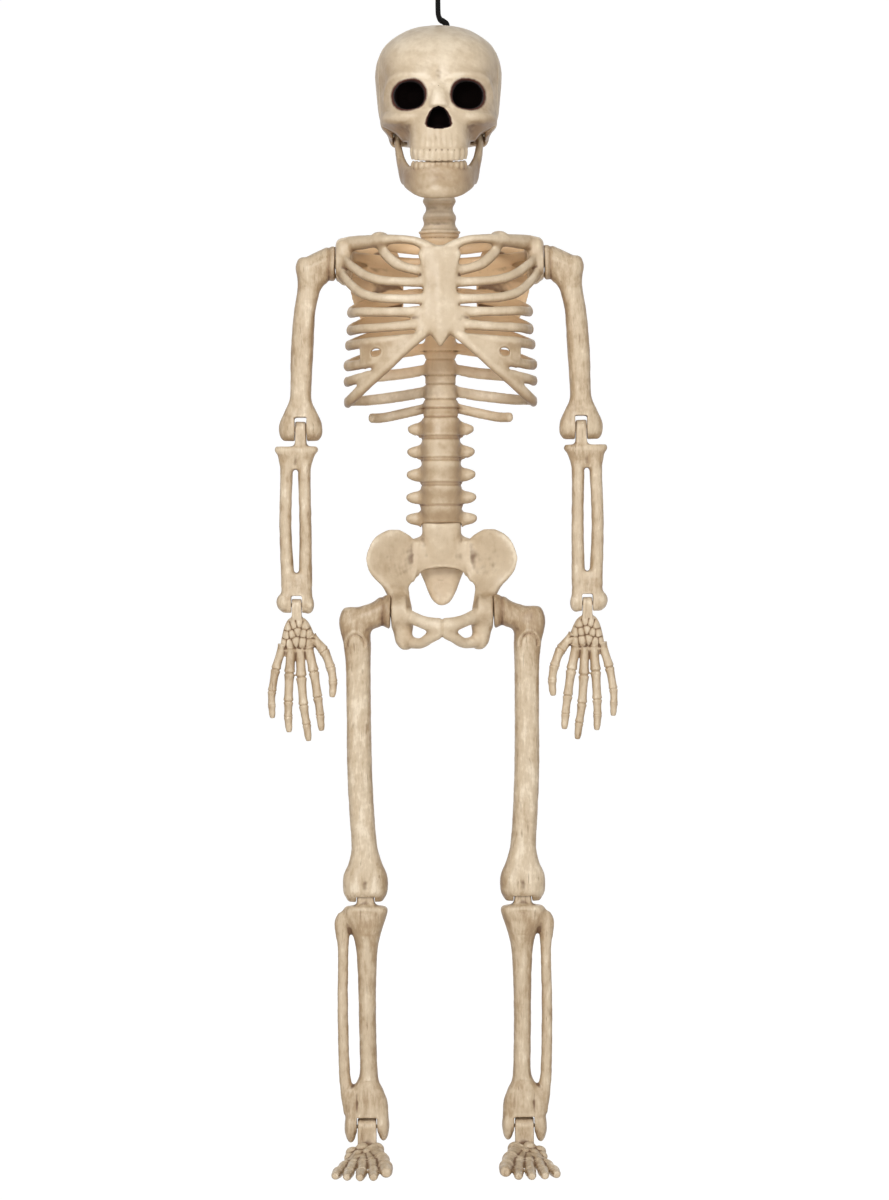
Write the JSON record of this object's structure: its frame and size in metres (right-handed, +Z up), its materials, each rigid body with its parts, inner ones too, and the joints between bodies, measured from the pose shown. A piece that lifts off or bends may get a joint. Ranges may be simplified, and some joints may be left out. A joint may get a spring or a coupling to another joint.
{
  "type": "hanging skeleton figure",
  "caption": "Posable plastic skeleton figure that hangs from a cord loop at its crown, with a hinged jaw, a turning head and hinged arms, hands, legs and feet.",
  "frame": {"origin": "top of the cord's loop, where it goes over a hook", "axes": "+Z up, the face looks along -Y, +X towards the figure's own left hand"},
  "size_m": [0.273, 0.1483, 0.9465],
  "materials": {
    "bone": "satin ivory plastic with a brown wash in the recesses",
    "cord": "black braided cord",
    "steel": "plain zinc-plated"
  },
  "bodies": {
    "skull": {"face_shell": "bone", "cranium_shell": "bone", "hanging_cord": "cord", "cord_knot": "cord", "jaw_pin_left": "bone", "jaw_pin_right": "bone"},
    "jaw": {"jaw": "bone"},
    "torso": {"neck_washer": "steel", "neck_screw": "steel", "chest_front": "bone", "spine_and_back": "bone", "pelvis_front": "bone", "pelvis_back": "bone"},
    "upper_arm_left": {"shoulder_peg_left": "bone", "humerus_left": "bone", "elbow_pin_left": "bone"},
    "forearm_left": {"forearm_left": "bone", "wrist_pin_left": "bone"},
    "hand_left": {"hand_left": "bone"},
    "thigh_left": {"hip_peg_left": "bone", "femur_left": "bone", "knee_pin_left": "bone"},
    "shin_left": {"shin_left": "bone", "ankle_pin_left": "bone"},
    "foot_left": {"foot_left": "bone"},
    "upper_arm_right": {"shoulder_peg_right": "bone", "humerus_right": "bone", "elbow_pin_right": "bone"},
    "forearm_right": {"forearm_right": "bone", "wrist_pin_right": "bone"},
    "hand_right": {"hand_right": "bone"},
    "thigh_right": {"hip_peg_right": "bone", "femur_right": "bone", "knee_pin_right": "bone"},
    "shin_right": {"shin_right": "bone", "ankle_pin_right": "bone"},
    "foot_right": {"foot_right": "bone"}
  },
  "joints": [
    {"name": "neck_turn", "type": "hinge", "parent": "skull", "child": "torso", "pos_m": [0, 0.01, -0.152], "axis": [0, 0, 1], "range_deg": [-80, 80]},
    {"name": "jaw_open", "type": "hinge", "parent": "skull", "child": "jaw", "pos_m": [0, 0.002, -0.145], "axis": [1, 0, 0], "range_deg": [-1.5, 18]},
    {"name": "shoulder_left", "type": "hinge", "parent": "torso", "child": "upper_arm_left", "pos_m": [0.0815, 0.007, -0.244], "axis": [-1, 0, 0], "range_deg": [-45, 165]},
    {"name": "elbow_left", "type": "hinge", "parent": "upper_arm_left", "child": "forearm_left", "pos_m": [0.109, 0.007, -0.372], "axis": [-1, 0, 0], "range_deg": [0, 100]},
    {"name": "wrist_left", "type": "hinge", "parent": "forearm_left", "child": "hand_left", "pos_m": [0.113, 0.007, -0.509], "axis": [-1, 0, 0], "range_deg": [-70, 70]},
    {"name": "hip_left", "type": "hinge", "parent": "torso", "child": "thigh_left", "pos_m": [0.04, 0, -0.515], "axis": [-1, 0, 0], "range_deg": [-20, 90]},
    {"name": "knee_left", "type": "hinge", "parent": "thigh_left", "child": "shin_left", "pos_m": [0.061, 0, -0.728], "axis": [1, 0, 0], "range_deg": [0, 90]},
    {"name": "ankle_left", "type": "hinge", "parent": "shin_left", "child": "foot_left", "pos_m": [0.061, 0, -0.914], "axis": [-1, 0, 0], "range_deg": [-35, 35]},
    {"name": "shoulder_right", "type": "hinge", "parent": "torso", "child": "upper_arm_right", "pos_m": [-0.0815, 0.007, -0.244], "axis": [-1, 0, 0], "range_deg": [-45, 165]},
    {"name": "elbow_right", "type": "hinge", "parent": "upper_arm_right", "child": "forearm_right", "pos_m": [-0.109, 0.007, -0.372], "axis": [-1, 0, 0], "range_deg": [0, 100]},
    {"name": "wrist_right", "type": "hinge", "parent": "forearm_right", "child": "hand_right", "pos_m": [-0.113, 0.007, -0.509], "axis": [-1, 0, 0], "range_deg": [-70, 70]},
    {"name": "hip_right", "type": "hinge", "parent": "torso", "child": "thigh_right", "pos_m": [-0.04, 0, -0.515], "axis": [-1, 0, 0], "range_deg": [-20, 90]},
    {"name": "knee_right", "type": "hinge", "parent": "thigh_right", "child": "shin_right", "pos_m": [-0.061, 0, -0.728], "axis": [1, 0, 0], "range_deg": [0, 90]},
    {"name": "ankle_right", "type": "hinge", "parent": "shin_right", "child": "foot_right", "pos_m": [-0.061, 0, -0.914], "axis": [-1, 0, 0], "range_deg": [-35, 35]}
  ]
}
